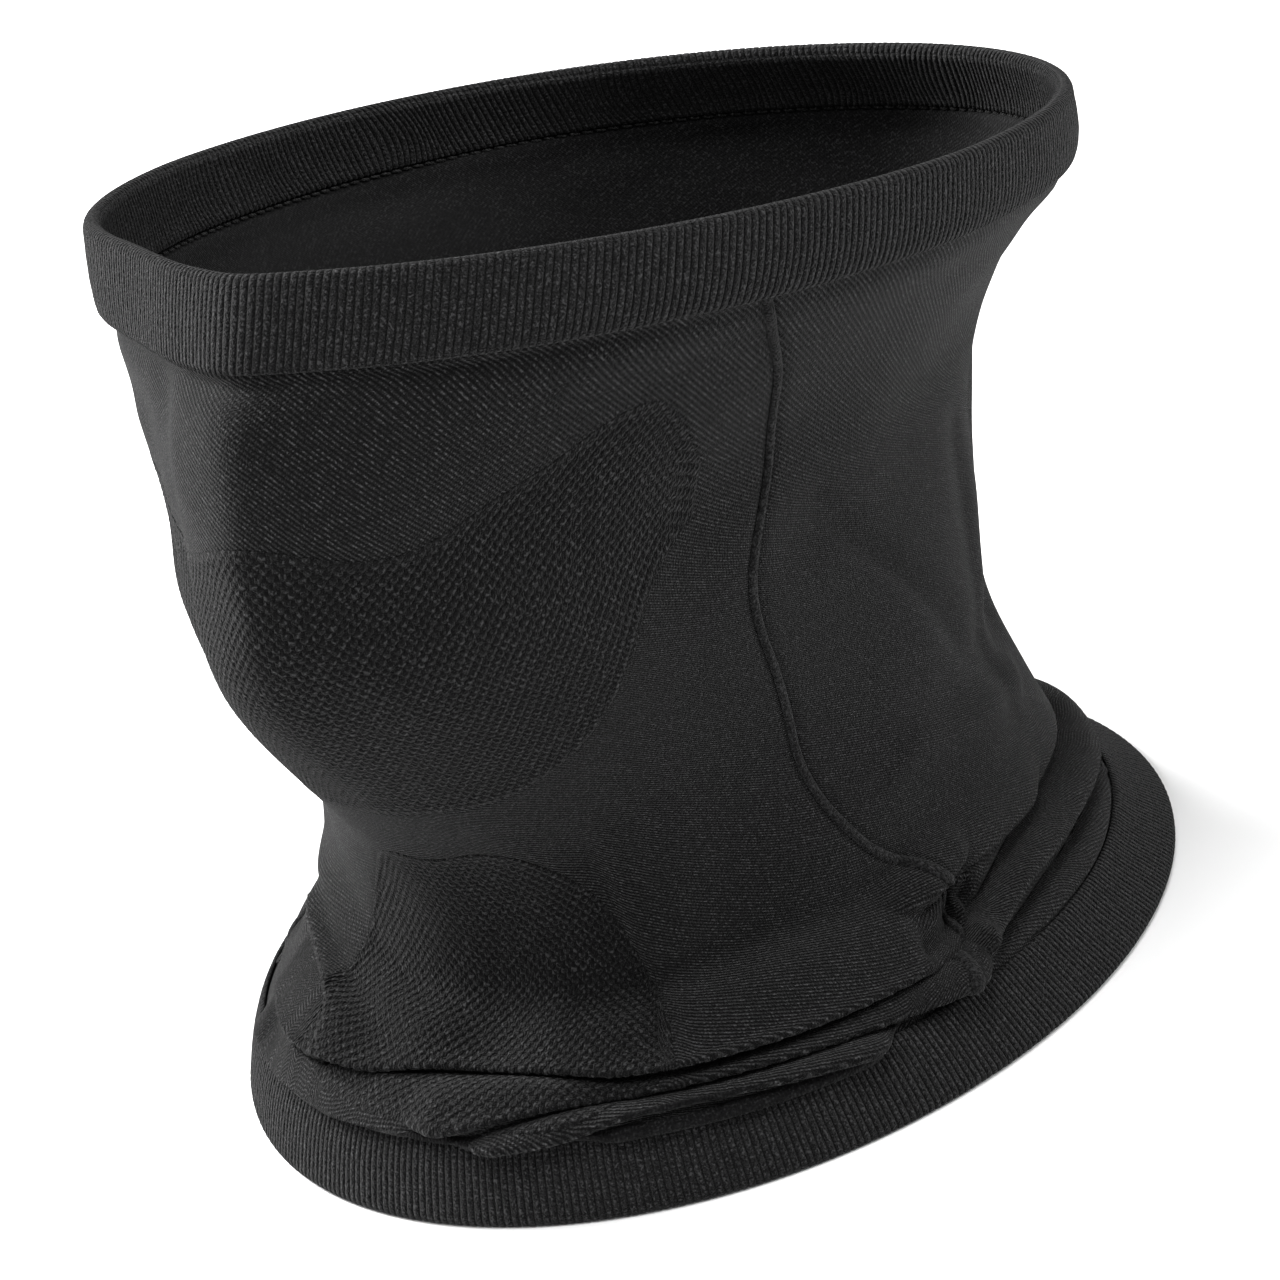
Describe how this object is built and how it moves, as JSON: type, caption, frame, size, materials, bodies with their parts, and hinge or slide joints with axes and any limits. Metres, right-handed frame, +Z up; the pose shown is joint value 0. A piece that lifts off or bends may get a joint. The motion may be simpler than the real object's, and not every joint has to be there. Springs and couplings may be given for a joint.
{
  "type": "neck gaiter",
  "caption": "Seamless-knit winter neck gaiter with ribbed folded bands, open vent knit at the mouth and throat, and raised side seams, worn over the neck and lower face.",
  "frame": {"origin": "centre of the neck opening, level with the bottom edge of the bottom band", "axes": "+Z up the neck, -Y towards the wearer's front, +X towards the wearer's left"},
  "size_m": [0.1534, 0.2166, 0.1607],
  "materials": {
    "body_knit": "matte fine twill-faced knit",
    "vent_knit": "matte open mesh knit",
    "rib_knit": "matte one-by-one rib",
    "seam": "matte covered seam",
    "thread": "matte spun thread",
    "elastic": "covered elastic"
  },
  "bodies": {
    "tube": {"front_panel": "body_knit", "back_panel": "body_knit", "face_mesh_panel": "vent_knit", "throat_mesh_panel": "vent_knit", "left_side_seam": "seam", "right_side_seam": "seam", "left_seam_thread": "thread", "right_seam_thread": "thread", "bottom_band": "rib_knit", "bottom_band_elastic": "elastic", "bottom_band_stitch": "thread"},
    "rim": {"top_band": "rib_knit", "top_band_elastic": "elastic", "top_band_stitch": "thread"}
  },
  "joints": [
    {"name": "face_pull_down", "type": "hinge", "parent": "tube", "child": "rim", "pos_m": [0, 0.104, 0.114], "axis": [1, 0, 0], "range_deg": [0, 14], "deforming": ["front_panel", "back_panel", "face_mesh_panel", "left_side_seam", "right_side_seam", "left_seam_thread", "right_seam_thread"]}
  ]
}
